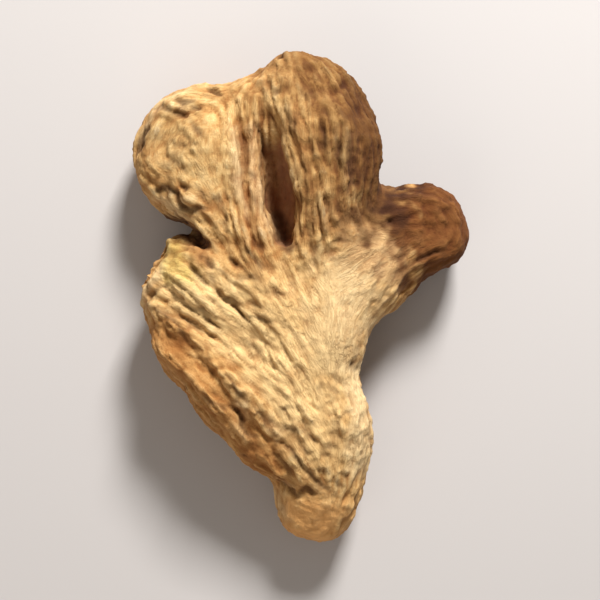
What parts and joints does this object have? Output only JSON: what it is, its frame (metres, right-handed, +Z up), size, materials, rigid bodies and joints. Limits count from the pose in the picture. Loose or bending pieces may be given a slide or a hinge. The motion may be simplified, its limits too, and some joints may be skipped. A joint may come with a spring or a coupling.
{
  "type": "dried ginger root",
  "caption": "Dried rhizome with a flattened palm and stubby fingers, its skin shrunk into lengthwise wrinkles.",
  "frame": {"origin": "centre of the bounding box in plan, on the surface that the root lies on", "axes": "+Y towards the fingers at the thick end, +X towards the short side finger, +Z up out of the surface"},
  "size_m": [0.0438, 0.0634, 0.0162],
  "materials": {
    "ginger_skin": "matt, powdery, with a faint sheen on the ridges"
  },
  "bodies": {
    "root": {"dried_ginger_root": "ginger_skin"}
  },
  "joints": []
}
